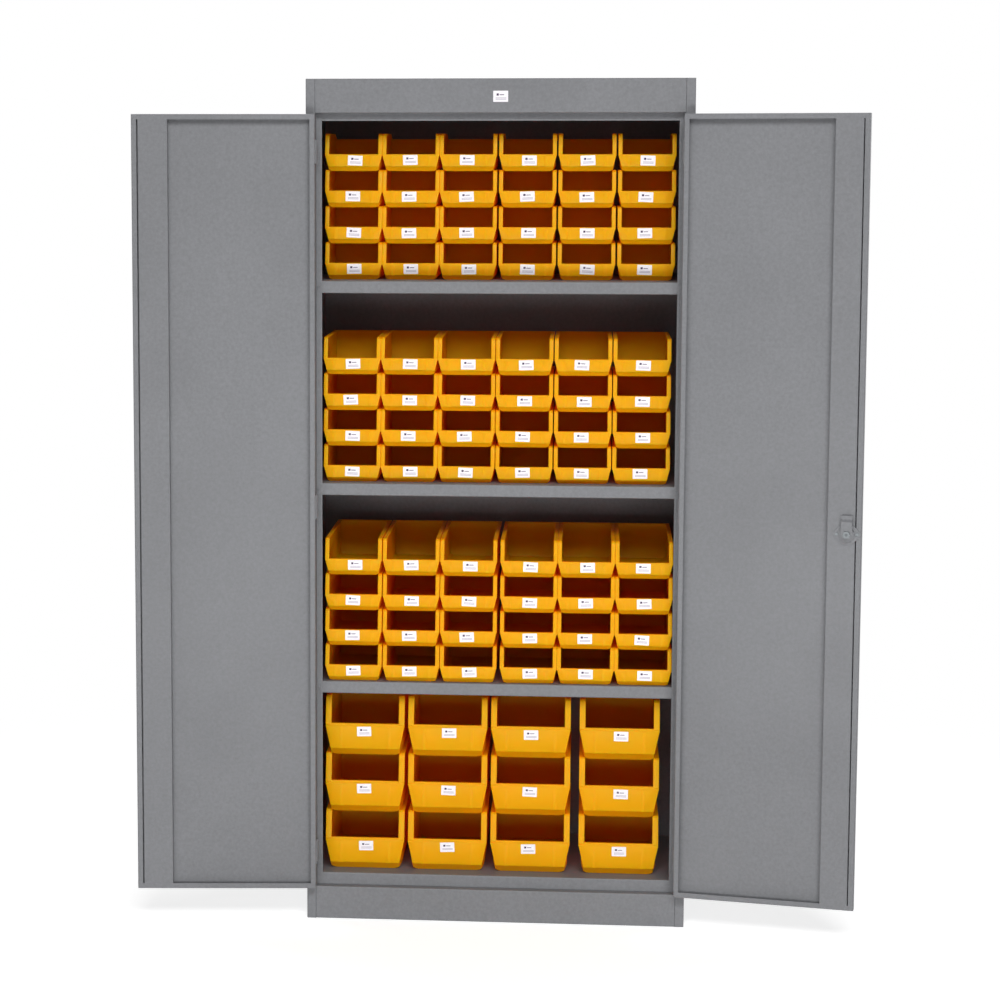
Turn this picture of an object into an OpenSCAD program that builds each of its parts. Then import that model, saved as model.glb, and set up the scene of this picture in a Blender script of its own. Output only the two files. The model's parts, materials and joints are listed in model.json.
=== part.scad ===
// Steel two-door cabinet with three shelves and 84 open-fronted storage bins.
// Millimetres, +Z up, the front faces -Y. The cabinet is built around its bins: its width
// and height follow from the bins, the gaps between them and the headroom above each stack.
// The origin is the middle of the front foot flange, where the plinth meets the ground.

/* [Steel body] */
// Depth of the cabinet, front to back
cabinet_d = 400; // [385:1:480]
// Thickness of all steel sheet
sheet = 1.2; // [0.9:0.1:1.5]
// Inner radius of the bends in the sheet
bend_r = 1.2; // [0.6:0.1:2]
// Width of the front post on each side of the doors
post_w = 20; // [16:1:28]
// Width of the door stop beside the opening
stop_w = 12; // [11:1:18]
// Height of the door stop under the header
top_stop_h = 16; // [12:1:24]
// Width of the folded hem along the edge of the door stop
hem_w = 4; // [3:0.5:5]
// Height of the header above the doors
header_h = 71; // [50:1:100]
// Height of the plinth below the doors
plinth_h = 71; // [50:1:120]
// Height of the riser from the plinth up to the floor
riser_h = 25; // [18:1:40]
// Width of the rear flange on each side panel
rear_flange_w = 29; // [20:1:40]
// Width of the front foot flange
foot_w = 24; // [16:1:40]

/* [Shelves] */
// Height of the folded edge round each shelf
shelf_lip_h = 26; // [20:1:36]
// Width of the return under the front edge of a shelf
shelf_return_w = 12; // [8:1:20]
// Space above the top stack of bins
headroom_a = 26; // [15:1:80]
// Space above the second stack of bins
headroom_b = 95.4; // [40:0.1:140]
// Space above the third stack of bins
headroom_c = 94; // [86:1:140]
// Space above the large bins
headroom_d = 13; // [6:0.5:60]
// Radius of the rivet shanks at the shelf ends
rivet_r = 2; // [1.5:0.1:2.4]
// Width of the angle bracket under each end of a shelf
bracket_w = 20; // [14:1:30]
// Length of the angle bracket, front to back
bracket_l = 260; // [120:5:300]

/* [Doors] */
// Thickness of a door, skin to inner lip
door_t = 20; // [16:1:24]
// Gap above and below a closed door
door_end_gap = 2.5; // [1.5:0.1:5]
// Gap between the two closed doors
door_meet_gap = 2.5; // [2:0.1:5]
// Gap between a closed door and the door stop
stop_gap = 2.5; // [2:0.1:4]
// How far the meeting line lies right of the middle
meet_shift = 2.2; // [0:0.1:4]
// Width of the return lip round the inside of a door
door_lip_w = 11; // [9:0.5:12]
// Width of the stiffening channel on the left door
left_channel_w = 63; // [50:1:80]
// Width of the stiffening channel on the right door
right_channel_w = 58; // [48:1:80]
// Gap between a channel and the lip at the free edge
channel_gap = 2; // [1:0.5:4]
// Angle of the left door from closed, as it stands
left_open = 175; // [90:1:180]
// Angle of the right door from closed, as it stands
right_open = 169; // [90:1:180]

/* [Hinges] */
// Height of one hinge
hinge_h = 50; // [36:1:80]
// Distance of the outer hinges from the door's ends
hinge_inset = 78; // [50:1:200]
// Radius of the hinge knuckles
knuckle_r = 3.6; // [3.2:0.1:3.8]
// Radius of the hinge pin
pin_r = 1.8; // [1.2:0.1:2]
// How far the hinge axis stands in front of the doors
hinge_out = 4; // [4:0.1:6]
// Thickness of a hinge leaf
leaf_t = 1.2; // [0.9:0.1:1.5]
// Width of a hinge leaf
leaf_w = 17; // [12:0.5:18]

/* [Latch] */
// Height of the latch above the third stack of bins
latch_rise = 41; // [36:1:44]
// Distance of the latch from the free edge of the door
latch_in = 30; // [29:0.5:31]
// Length of the pointed flange inside the door
flange_l = 58; // [55:1:58]
// Height of the pointed flange inside the door
flange_h = 45; // [36:1:50]
// Distance from the middle of the latch to each flange screw
flange_screw_x = 21; // [20.5:0.5:22.5]
// Radius of the round body on the flange
latch_body_r = 15; // [12:0.5:15]
// Height of the round body on the flange
latch_body_h = 6; // [4:0.5:8]
// Radius of the spindle
spindle_r = 5; // [4:0.1:6]
// Width of the cam tongue
cam_w = 23; // [18:0.5:26]
// Reach of the cam tongue from the spindle
cam_reach = 39; // [36:0.5:42]
// Radius of the round rose outside the door
rose_r = 20; // [16:0.5:24]
// Length of the handle bar
handle_l = 78; // [60:1:100]
// Width of the handle bar
handle_w = 17; // [15:0.5:22]
// Radius of the lock cylinder in the handle
lock_r = 5.5; // [4.5:0.1:6]

/* [Small bins] */
// Width of a small bin over its rim
small_w = 121.5; // [116:0.5:130]
// Height of a small bin
small_h = 79; // [70:0.5:95]
// Length of the bins in the top compartment
small_l_a = 180; // [150:1:240]
// Length of the bins in the second compartment
small_l_b = 240; // [180:1:290]
// Length of the bins in the third compartment
small_l_c = 300; // [240:1:320]
// Height of the front panel's lip on a small bin
small_lip_z = 35.5; // [28:0.5:45]
// Height of the slope under the front panel of a small bin
small_slope_h = 9.5; // [7:0.5:13]
// How much narrower each side of the front panel is at its foot
small_taper = 6.5; // [4.5:0.5:8]
// Width of the rim along the top and the front edges of a small bin
small_rim_w = 8.5; // [7.5:0.5:10]
// How far the rim of a small bin stands out from its side
small_rim_out = 4; // [3:0.5:5]
// Outer radius of the long bottom edges of a small bin
small_corner_r = 12; // [10.5:0.5:15]
// Clear width left over by the six small bins, shared out between them
small_play = 17; // [14:1:60]
// How much lower the back wall of the shortest bins is
low_back = 12; // [0:1:20]

/* [Large bins] */
// Width of a large bin over its rim
large_w = 171; // [150:0.5:178]
// Height of a large bin
large_h = 130; // [115:0.5:150]
// Length of a large bin
large_l = 300; // [240:1:320]
// Height of the front panel's lip on a large bin
large_lip_z = 71; // [55:0.5:85]
// Height of the slope under the front panel of a large bin
large_slope_h = 16; // [10:0.5:20]
// How much narrower each side of the front panel is at its foot
large_taper = 10.5; // [7:0.5:13]
// Width of the rim along the top and the front edges of a large bin
large_rim_w = 12.5; // [11:0.5:14]
// How far the rim of a large bin stands out from its side
large_rim_out = 5.5; // [4.5:0.5:6.5]
// Outer radius of the long bottom edges of a large bin
large_corner_r = 19; // [16:0.5:24]

/* [Bin details] */
// Thickness of the bin walls
wall = 2; // [1.6:0.1:2.6]
// Thickness of the rim and of the front panel
rim_t = 3; // [2.8:0.1:4]
// Width of the raised bands on a front panel
band_w = 8; // [4:0.5:12]
// Height of the raised bands on a front panel
band_h = 0.6; // [0.3:0.1:1.2]

/* [Bin places] */
// Distance from the shelf's front edge to the top compartment's bins
setback_a = 61; // [2:1:100]
// Distance from the shelf's front edge to the second compartment's bins
setback_b = 26; // [2:1:80]
// Distance from the shelf's front edge to the third compartment's bins
setback_c = 4; // [2:1:40]
// Distance from the floor's front edge to the large bins
setback_d = 26; // [2:1:40]

/* [Hidden] */
small_columns = 6;
large_columns = 4;
small_rows = 4;
large_rows = 3;

steel = [0.50, 0.51, 0.52];
bin_yellow = [0.93, 0.70, 0.05];
plated = [0.78, 0.78, 0.76];
round_fn = 48;
eps = 0.01;
sink = 0.02;         // how far straight sides lie inside the arcs that they run into
running = 0.05;      // radial clearance of a pin or spindle in its bore
bin_seat = 0.3;      // gap between a bin and the rim it stands over

// A bin's rounded bottom edges rest between the rims of the bin below. This is how deep it sits.
function nest_depth(corner, rim, out) =
  floor(10 * (corner - sqrt(pow(corner + bin_seat, 2) - pow(corner + out - rim, 2)))) / 10;

small_pitch = small_h - nest_depth(small_corner_r, small_rim_w, small_rim_out);
large_pitch = large_h - nest_depth(large_corner_r, large_rim_w, large_rim_out);
small_stack = (small_rows - 1) * small_pitch + small_h;
large_stack = (large_rows - 1) * large_pitch + large_h;

// Widths, worked outwards from the bins
opening_w = small_columns * small_w + small_play;
jamb_x = opening_w / 2 + stop_w;
side_x = jamb_x + post_w;
inner_x = side_x - sheet;
stop_x = jamb_x - stop_w;

// Depths, worked back from the front face of the posts
stop_y = door_t + stop_gap;
shelf_y = stop_y + sheet;
back_y = cabinet_d - sheet;
rear_y = back_y - sheet;
shelf_rear_y = rear_y - sheet;
shelf_side_x = inner_x - sheet / 2;

// Heights, worked up from the ground
floor_z = plinth_h + riser_h;
shelf_3_z = floor_z + large_stack + headroom_d + shelf_lip_h;
shelf_2_z = shelf_3_z + small_stack + headroom_c + shelf_lip_h;
shelf_1_z = shelf_2_z + small_stack + headroom_b + shelf_lip_h;
header_z = shelf_1_z + small_stack + headroom_a + top_stop_h;
cabinet_h = header_z + header_h;
shelf_zs = [shelf_1_z, shelf_2_z, shelf_3_z];

// Doors, measured outwards from the hinge axis
leaf_play = 0.6;
side_gap = 2 * leaf_t + leaf_play;
axis_x = jamb_x - side_gap / 2;
door_edge = side_gap / 2;
door_z0 = plinth_h + door_end_gap;
door_z1 = header_z - door_end_gap;
left_free = axis_x + meet_shift - door_meet_gap / 2;
right_free = axis_x - meet_shift - door_meet_gap / 2;
left_channel_x = left_free - door_lip_w - channel_gap - left_channel_w;
right_channel_x = right_free - door_lip_w - channel_gap - right_channel_w;
hinge_zs = [door_z0 + hinge_inset, (door_z0 + door_z1) / 2, door_z1 - hinge_inset];
knuckle_l = hinge_h / 3;
knuckle_play = 0.3;
pin_head_r = pin_r + 0.8;
pin_head_h = 1;

// Rivets at the shelf ends
rivet_x = stop_x + (stop_w + hem_w) / 2;
rivet_head_r = rivet_r + 1.2;
rivet_head_h = 1.3;
rivet_play = 0.1;
rivet_tail = 1;      // how far the tail spreads, and how thick it is

// Latch, measured along its axis from the outer face of the door
latch_x = right_free - latch_in;
latch_z = shelf_3_z + small_stack + latch_rise;
rose_t = 3;
flange_t = 2.5;
flange_tip_r = 5;
flange_top = door_t + flange_t;
body_top = flange_top + latch_body_h;
stake_r = 1.4;       // four stakes hold the round body together
stake_at_r = latch_body_r - 2.5 * stake_r;
cam_gap = 0.8;       // gap between the cam and the round body
cam_t = 2.5;
cam_bend = 25;
cam_y = body_top + cam_gap;
cam_drop = latch_body_h - cam_gap;
square_w = 1.3 * spindle_r;
spindle_room = 1;    // room round the spindle in the sheets of the door
nut_r = 8;
nut_h = 4;
stub_r = 3;
handle_gap = 0.3;    // running gap between the handle and the rose
handle_hub_r = 9;
handle_hub_l = 18;
handle_t = 12;
handle_disc_r = 14;
handle_y = -rose_t - handle_gap - handle_hub_l;
handle_face = handle_y - handle_t;
lock_l = 20;
lock_proud = 1;
key_slot_w = 1.6;
key_slot_h = 7;
key_slot_l = 8;
screw_head_r = 3.5;
screw_head_h = 2;
screw_r = 1.5;

// Bin details
small_slant = 10;    // how far the side rims lean back between the lip and the top
large_slant = 14;
small_run = 38;      // how far back the taper of the front reaches along the bottom
large_run = 45;
small_bevel = 1;     // bevel along the lip
large_bevel = 5;
small_band_in = 22;  // distance of the raised bands from the outer edges of the rim
large_band_in = 33.5;
panel_back = 1;      // how far the body stands behind the face of the front panel
lip_depth = 6;
tip = 4;             // bevel at the front tips of the rim
drop_run = 34;       // how far from the back a lowered rim starts to fall
large_play = opening_w - large_columns * large_w;

// Where each column stands: its share of the free width, counted from the left
places_a = [0.025, 0.047, 0.076, 0.33, 0.55, 0.79];
places_b = [0.025, 0.047, 0.07, 0.16, 0.31, 0.45];
places_c = [0.31, 0.435, 0.52, 0.93, 0.953, 0.976];
places_d = [0.06, 0.19, 0.32, 0.63];

// --- Sheet-metal shapes ---------------------------------------------------------------

// Unit vector from p to q
function heading(p, q) = (q - p) / norm(q - p);

// A folded sheet in section: a centre line with right-angle bends, as thick as the sheet
module fold_section(path) {
  r = bend_r + sheet / 2;
  last = len(path) - 1;
  for (i = [0 : last - 1]) {
    d = heading(path[i], path[i + 1]);
    from = path[i] + (i == 0 ? 0 : r) * d;
    to = path[i + 1] - (i == last - 1 ? 0 : r) * d;
    mid = (from + to) / 2;
    long = norm(to - from);
    translate(mid) square(abs(d[0]) > 0.5 ? [long, sheet] : [sheet, long], center = true);
  }
  for (i = [1 : 1 : last - 1]) {
    d_in = heading(path[i - 1], path[i]);
    d_out = heading(path[i], path[i + 1]);
    centre = path[i] - r * d_in + r * d_out;
    toward = d_in - d_out;
    translate(centre) intersection() {
      difference() {
        circle(r = r + sheet / 2, $fn = round_fn);
        circle(r = r - sheet / 2, $fn = round_fn);
      }
      translate(toward * r) square(2 * r, center = true);
    }
  }
}

// A section drawn in Y and Z, run along X between two ends
module along_x(x0, x1) {
  translate([x0, 0, 0]) rotate([90, 0, 90]) linear_extrude(x1 - x0) children();
}

// A box between two corners
module block(low, high) {
  translate(low) cube(high - low);
}

// A straight round bar along Y between two depths
module bar_y(r, y0, y1) {
  translate([0, y0, 0]) rotate([-90, 0, 0]) cylinder(r = r, h = y1 - y0, $fn = round_fn);
}

// --- Steel body -----------------------------------------------------------------------

// The right side: rear flange, side, post, jamb and door stop folded from one sheet
module side_panel_right() {
  half = sheet / 2;
  front = stop_y + sheet;
  difference() {
    union() {
      linear_extrude(cabinet_h) fold_section([
        [side_x - rear_flange_w, back_y - half], [side_x - half, back_y - half],
        [side_x - half, half], [jamb_x + half, half],
        [jamb_x + half, stop_y + half], [stop_x, stop_y + half]]);
      block([stop_x, stop_y - sheet, floor_z], [stop_x + hem_w, stop_y, header_z - top_stop_h]);
      for (z = [0, cabinet_h - sheet]) {
        block([jamb_x + sheet, sheet, z], [inner_x, front, z + sheet]);
        block([jamb_x, front, z], [inner_x, rear_y, z + sheet]);
      }
    }
    block([stop_x - 1, -1, header_z - eps], [jamb_x, front + eps, cabinet_h + 1]);
    block([stop_x - 1, -1, -1], [jamb_x, front + eps, plinth_h]);
    for (z = shelf_zs)
      translate([rivet_x, 0, z - shelf_lip_h / 2]) bar_y(rivet_r + rivet_play, stop_y - 1, front + 1);
  }
}

module right_side_panel() {
  color(steel) side_panel_right();
}

module left_side_panel() {
  color(steel) mirror([1, 0, 0]) side_panel_right();
}

// Roof, header and upper door stop
module top_panel() {
  half = sheet / 2;
  color(steel) {
    along_x(-jamb_x, jamb_x) fold_section([
      [stop_y, header_z + half], [half, header_z + half], [half, cabinet_h - half],
      [rear_y - half, cabinet_h - half], [rear_y - half, cabinet_h - shelf_lip_h]]);
    block([-stop_x, stop_y, header_z - top_stop_h], [stop_x, stop_y + sheet, header_z + sheet]);
    block([-stop_x, stop_y - sheet, header_z - top_stop_h],
          [stop_x, stop_y, header_z - top_stop_h + hem_w]);
  }
}

// Floor, riser, ledge, plinth and front foot flange
module floor_pan() {
  half = sheet / 2;
  color(steel) {
    along_x(-jamb_x, jamb_x) fold_section([
      [foot_w, half], [half, half], [half, plinth_h - half], [stop_y, plinth_h - half]]);
    along_x(-stop_x, stop_x) fold_section([
      [stop_y + half, plinth_h - sheet], [stop_y + half, floor_z - half], [rear_y, floor_z - half]]);
    for (s = [0, 1]) mirror([s, 0, 0])
      block([stop_x, shelf_y, floor_z - sheet], [inner_x, rear_y, floor_z]);
  }
}

module back_panel() {
  color(steel) block([-side_x, back_y, 0], [side_x, cabinet_d, cabinet_h]);
}

// One shelf, its top face at z: folded down all round, with a return under its front
module shelf(z) {
  half = sheet / 2;
  low = z - shelf_lip_h;
  color(steel) difference() {
    union() {
      along_x(-shelf_side_x, shelf_side_x) fold_section([
        [shelf_y + shelf_return_w, low + half], [shelf_y + half, low + half],
        [shelf_y + half, z - half], [shelf_rear_y - half, z - half], [shelf_rear_y - half, low]]);
      for (s = [0, 1]) mirror([s, 0, 0])
        block([shelf_side_x - sheet, shelf_y + shelf_return_w + sheet, low],
              [shelf_side_x, shelf_rear_y - sheet, z - sheet]);
    }
    for (s = [-1, 1]) translate([s * rivet_x, 0, z - shelf_lip_h / 2])
      bar_y(rivet_r + rivet_play, shelf_y - 1, shelf_y + 2 * sheet);
  }
}

module shelf_1() { shelf(shelf_1_z); }
module shelf_2() { shelf(shelf_2_z); }
module shelf_3() { shelf(shelf_3_z); }

// Six angle brackets on the side panels, one under each end of each shelf
module shelf_brackets() {
  middle = (shelf_y + shelf_rear_y) / 2;
  front = middle - bracket_l / 2;
  rear = middle + bracket_l / 2;
  color(steel) for (z = shelf_zs, s = [0, 1]) mirror([s, 0, 0]) {
    top = z - shelf_lip_h;
    block([inner_x - bracket_w, front, top - sheet], [inner_x, rear, top]);
    block([inner_x - sheet, front, top - bracket_w], [inner_x, rear, top]);
  }
}

// One rivet through the door stop and the shelf's front edge
module rivet() {
  dome_r = (pow(rivet_head_r, 2) + pow(rivet_head_h, 2)) / (2 * rivet_head_h);
  tail = shelf_y + sheet;
  difference() {
    translate([0, stop_y + dome_r - rivet_head_h, 0]) sphere(r = dome_r, $fn = round_fn);
    translate([-2 * dome_r, stop_y, -2 * dome_r]) cube(4 * dome_r);
  }
  bar_y(rivet_r, stop_y - eps, tail + eps);
  bar_y(rivet_r + rivet_tail, tail, tail + rivet_tail);
}

module shelf_rivets() {
  color(steel) for (z = shelf_zs, s = [-1, 1])
    translate([s * rivet_x, 0, z - shelf_lip_h / 2]) rivet();
}

// --- Hinges ---------------------------------------------------------------------------
// A hinge is drawn about its axis, with +X towards the leaf's own side and +Y into the cabinet.

module knuckle(z) {
  translate([0, 0, z]) cylinder(r = knuckle_r, h = knuckle_l - knuckle_play, $fn = round_fn);
}

// One leaf with the knuckles that start at the heights given
module hinge_leaf(starts) {
  difference() {
    union() {
      block([leaf_play / 2, hinge_out, 0], [leaf_play / 2 + leaf_t, hinge_out + leaf_w, hinge_h]);
      for (z = starts) {
        knuckle(z);
        block([leaf_play / 2, 0, z],
              [leaf_play / 2 + leaf_t, hinge_out + eps, z + knuckle_l - knuckle_play]);
      }
    }
    translate([0, 0, -knuckle_play])
      cylinder(r = pin_r + running, h = hinge_h + 2 * knuckle_play, $fn = round_fn);
  }
}

module frame_leaf() { hinge_leaf([knuckle_play / 2, 2 * knuckle_l + knuckle_play / 2]); }
module door_leaf() { hinge_leaf([knuckle_l + knuckle_play / 2]); }

// Three of the children, one at each hinge height
module at_hinges() {
  for (z = hinge_zs) translate([0, -hinge_out, z - hinge_h / 2]) children();
}

module right_hinge_frame_leaves() {
  color(steel) translate([axis_x, 0, 0]) at_hinges() frame_leaf();
}

module left_hinge_frame_leaves() {
  color(steel) mirror([1, 0, 0]) translate([axis_x, 0, 0]) at_hinges() frame_leaf();
}

// A headed pin through the three knuckles
module hinge_pin() {
  cylinder(r = pin_r, h = hinge_h, $fn = round_fn);
  for (z = [-pin_head_h, hinge_h])
    translate([0, 0, z]) cylinder(r = pin_head_r, h = pin_head_h, $fn = round_fn);
}

module right_hinge_pins() {
  color(plated) translate([axis_x, 0, 0]) at_hinges() hinge_pin();
}

module left_hinge_pins() {
  color(plated) translate([-axis_x, 0, 0]) at_hinges() hinge_pin();
}

// --- Doors ----------------------------------------------------------------------------
// A door is drawn closed, with X running from the hinge axis to the free edge. These two
// turn it to where it stands.

module on_right_door() {
  translate([axis_x, -hinge_out, 0]) rotate([0, 0, right_open])
    mirror([1, 0, 0]) translate([0, hinge_out, 0]) children();
}

module on_left_door() {
  translate([-axis_x, -hinge_out, 0]) rotate([0, 0, -left_open])
    translate([0, hinge_out, 0]) children();
}

// Skin with its four edges folded back and returned
module door_panel(free_x) {
  half = sheet / 2;
  translate([0, 0, door_z0]) linear_extrude(door_z1 - door_z0) fold_section([
    [door_edge + door_lip_w, door_t - half], [door_edge + half, door_t - half],
    [door_edge + half, half],
    [free_x - half, half], [free_x - half, door_t - half], [free_x - door_lip_w, door_t - half]]);
  for (end = [0, 1]) {
    outer = end == 0 ? door_z0 : door_z1 - sheet;
    lip = end == 0 ? door_z0 : door_z1 - door_lip_w;
    block([door_edge + sheet, sheet - eps, outer], [free_x - sheet, door_t, outer + sheet]);
    block([door_edge + door_lip_w - eps, door_t - sheet, lip],
          [free_x - door_lip_w + eps, door_t, lip + door_lip_w]);
  }
}

// Hat channel welded behind the skin beside the free edge
module door_channel(x, w) {
  half = sheet / 2;
  h = door_z1 - door_z0 - 2 * door_lip_w;
  translate([0, 0, door_z0 + door_lip_w]) linear_extrude(h) fold_section([
    [x + half, sheet], [x + half, door_t - half],
    [x + w - half, door_t - half], [x + w - half, sheet]]);
}

module left_door_panel() {
  color(steel) on_left_door() door_panel(left_free);
}

module left_door_channel() {
  color(steel) on_left_door() door_channel(left_channel_x, left_channel_w);
}

module left_hinge_door_leaves() {
  color(steel) on_left_door() at_hinges() door_leaf();
}

// The latch is drawn about its spindle, and this puts it in the right door
module at_latch() {
  translate([latch_x, 0, latch_z]) children();
}

// Holes for the two flange screws between two depths
module screw_holes(y0, y1) {
  for (s = [-1, 1]) translate([s * flange_screw_x, 0, 0]) bar_y(screw_r + running, y0, y1);
}

module right_door_panel() {
  color(steel) on_right_door() difference() {
    door_panel(right_free);
    at_latch() {
      bar_y(spindle_r + spindle_room, -1, 2 * sheet);
      screw_holes(door_t - 2 * sheet, door_t + 1);
    }
  }
}

module right_door_channel() {
  color(steel) on_right_door() difference() {
    door_channel(right_channel_x, right_channel_w);
    at_latch() {
      bar_y(spindle_r + spindle_room, door_t - 2 * sheet, door_t + 1);
      screw_holes(door_t - 2 * sheet, door_t + 1);
    }
  }
}

module right_hinge_door_leaves() {
  color(steel) on_right_door() at_hinges() door_leaf();
}

// --- Latch ----------------------------------------------------------------------------

// A disc with a smaller rounded tip on each side, joined by tangents
module pointed_disc(r, tip_r, half_l) {
  d = half_l - tip_r;
  a = acos((r - tip_r) / d);
  circle(r = r, $fn = round_fn);
  for (s = [0, 1]) mirror([s, 0]) translate([d, 0]) circle(r = tip_r, $fn = round_fn);
  for (sx = [-1, 1], sz = [-1, 1]) polygon([
    [0, 0], (r - sink) * [sx * cos(a), sz * sin(a)],
    [sx * d, 0] + (tip_r - sink) * [sx * cos(a), sz * sin(a)], [sx * d, 0]]);
}

// A flat section drawn in X and Z, run back along Y from a depth
module along_y(y, t) {
  translate([0, y + t, 0]) rotate([90, 0, 0]) linear_extrude(t) children();
}

module latch_flange() {
  color(steel) on_right_door() at_latch() difference() {
    union() {
      along_y(door_t, flange_t) pointed_disc(flange_h / 2, flange_tip_r, flange_l / 2);
      bar_y(latch_body_r, flange_top - eps, body_top);
      for (a = [45 : 90 : 315]) rotate([0, a, 0]) translate([stake_at_r, 0, 0])
        bar_y(stake_r, body_top - eps, body_top + cam_gap / 2);
    }
    bar_y(spindle_r + running, door_t - 1, body_top + 1);
    screw_holes(door_t - 1, flange_top + 1);
  }
}

module latch_screws() {
  color(plated) on_right_door() at_latch() for (s = [-1, 1]) translate([s * flange_screw_x, 0, 0]) {
    bar_y(screw_r, door_t - 2 * sheet, flange_top + eps);
    bar_y(screw_head_r, flange_top, flange_top + screw_head_h);
  }
}

module handle_rose() {
  color(plated) on_right_door() at_latch() difference() {
    bar_y(rose_r, -rose_t, 0);
    bar_y(spindle_r + running, -rose_t - 1, 1);
  }
}

// Handle bar, hub and spindle, with a square for the cam and a round end for the nut. The bar
// stands upright when unlocked, so that it stays behind the edge of the door.
module handle() {
  color(plated) on_right_door() at_latch() difference() {
    union() {
      rotate([0, 90, 0]) along_y(handle_face, handle_t)
        pointed_disc(handle_disc_r, handle_w / 2, handle_l / 2);
      bar_y(handle_hub_r, handle_y - eps, -rose_t - handle_gap);
      bar_y(spindle_r, -rose_t - handle_gap - eps, cam_y);
      block([-square_w / 2, cam_y - eps, -square_w / 2],
            [square_w / 2, cam_y + cam_t, square_w / 2]);
      bar_y(stub_r, cam_y + cam_t - eps, cam_y + cam_t + nut_h);
    }
    bar_y(lock_r + running, handle_face - 1, handle_face + lock_l);
  }
}

module lock_cylinder() {
  color(plated) on_right_door() at_latch() difference() {
    bar_y(lock_r, handle_face - lock_proud, handle_face + lock_l - handle_gap);
    block([-key_slot_w / 2, handle_face - lock_proud - 1, -key_slot_h / 2],
          [key_slot_w / 2, handle_face + key_slot_l, key_slot_h / 2]);
  }
}

// The cam points up when unlocked. Past its bend it runs just behind the lips of the doors.
module latch_cam() {
  k = cam_t * (sqrt(2) - 1);
  low = cam_y - cam_drop;
  color(steel) on_right_door() at_latch() difference() {
    intersection() {
      along_x(-cam_w / 2, cam_w / 2) polygon([
        [cam_y, -cam_w], [cam_y + cam_t, -cam_w], [cam_y + cam_t, cam_bend + k],
        [low + cam_t, cam_bend + cam_drop + k], [low + cam_t, cam_reach + 1],
        [low, cam_reach + 1], [low, cam_bend + cam_drop], [cam_y, cam_bend]]);
      along_y(low - 1, cam_drop + cam_t + 2) union() {
        circle(r = cam_w / 2, $fn = round_fn);
        translate([-cam_w / 2, 0]) square([cam_w, cam_reach]);
      }
    }
    block([-square_w / 2, low - 1, -square_w / 2], [square_w / 2, cam_y + cam_t + 1, square_w / 2]);
  }
}

module cam_nut() {
  color(plated) on_right_door() at_latch() difference() {
    translate([0, cam_y + cam_t, 0]) rotate([-90, 0, 0]) cylinder(r = nut_r, h = nut_h, $fn = 6);
    bar_y(stub_r, cam_y, cam_y + 2 * nut_h);
  }
}

// --- Bins -----------------------------------------------------------------------------
// A bin is drawn on z = 0 with its front panel at y = 0 and its middle at x = 0.

// A closed bin seen from the front: upright sides and rounded bottom edges, moved in by a wall
module bin_front_view(half, h, corner, in) {
  r = corner - in;
  translate([in - half, corner]) square([2 * (half - in), h - corner]);
  translate([corner - half, in]) square([2 * (half - corner), r + eps]);
  for (s = [-1, 1]) translate([s * (half - corner), corner]) circle(r = r, $fn = round_fn);
}

// What the taper of the front takes off both lower front corners, moved in by a wall
module front_corner_cuts(half, taper, run, lip, in) {
  n = [1 / taper, 1 / run, 1 / lip];
  size = 2 * (run + lip);
  for (s = [0, 1]) mirror([s, 0, 0]) translate([-half, 0, 0])
    rotate([0, -asin(n[2] / norm(n)), atan2(n[1], n[0])])
      translate([1 / norm(n) + in - size, -size / 2, -size / 2]) cube(size);
}

// Rim in side view: it leans back from the lip to the tip, then runs level to the back
module rim_side_view(h, l, lip, slant, drop) {
  lean = slant / (h - lip);
  polygon([
    [0, lip - rim_t], [0, lip], [slant - tip * lean, h - tip], [slant + tip, h], [l - drop_run, h],
    [l, h - drop], [l, h - drop - rim_t], [l - drop_run, h - rim_t], [slant + rim_t, h - rim_t],
    [rim_t, lip - rim_t]]);
}

// An open-fronted bin. taper is how much each side of the front panel draws in from the lip
// down to the slope, and the body below the rim follows the same line.
module bin(w, h, l, lip, slope, slant, taper, run, corner, rim, out, bevel, band_in, drop) {
  half = w / 2 - out;
  lean = rim - out + 2 * bin_seat;
  back = l - out;
  side_taper = taper * lip / (lip - slope) - out;
  c = wall * (sqrt(2) - 1);
  difference() {
    intersection() {
      along_x(-half, half) polygon([
        [panel_back + slope, 0], [panel_back, slope], [panel_back, lip], [panel_back + slant, h],
        [l - drop_run, h], [back, h - drop], [back - lean, 0]]);
      along_y(0, l) bin_front_view(half, h, corner, 0);
    }
    front_corner_cuts(half, side_taper, run, lip, 0);
    difference() {
      intersection() {
        along_x(-half, half) polygon([
          [panel_back + slope + c, wall], [rim_t, slope + c], [rim_t, lip - eps], [-1, lip - eps],
          [-1, h + 1], [back - wall, h + 1], [back - wall - lean, wall]]);
        along_y(-1, l) bin_front_view(half, h + 1, corner, wall);
      }
      front_corner_cuts(half, side_taper, run, lip, wall);
    }
  }
  // Front panel with its lip and two raised bands
  along_y(0, rim_t) polygon([
    [-w / 2, lip - bevel], [w / 2, lip - bevel], [w / 2 - taper, slope], [taper - w / 2, slope]]);
  along_x(-w / 2, w / 2) polygon([
    [0, lip - bevel - rim_t], [0, lip - bevel], [bevel, lip],
    [lip_depth, lip], [lip_depth, lip - rim_t]]);
  for (s = [-1, 1])
    block([s * (w / 2 - band_in) - band_w / 2, -band_h, slope],
          [s * (w / 2 - band_in) + band_w / 2, eps, lip - bevel - rim_t]);
  // Rim along both sides and across the back
  for (s = [0, 1]) mirror([s, 0, 0])
    along_x(w / 2 - rim, w / 2) rim_side_view(h, l, lip, slant, drop);
  block([-w / 2, l - rim, h - drop - rim_t], [w / 2, l, h - drop]);
}

module small_bin(l, drop) {
  color(bin_yellow) bin(small_w, small_h, l, small_lip_z, small_slope_h, small_slant, small_taper,
    small_run, small_corner_r, small_rim_w, small_rim_out, small_bevel, small_band_in, drop);
}

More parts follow.
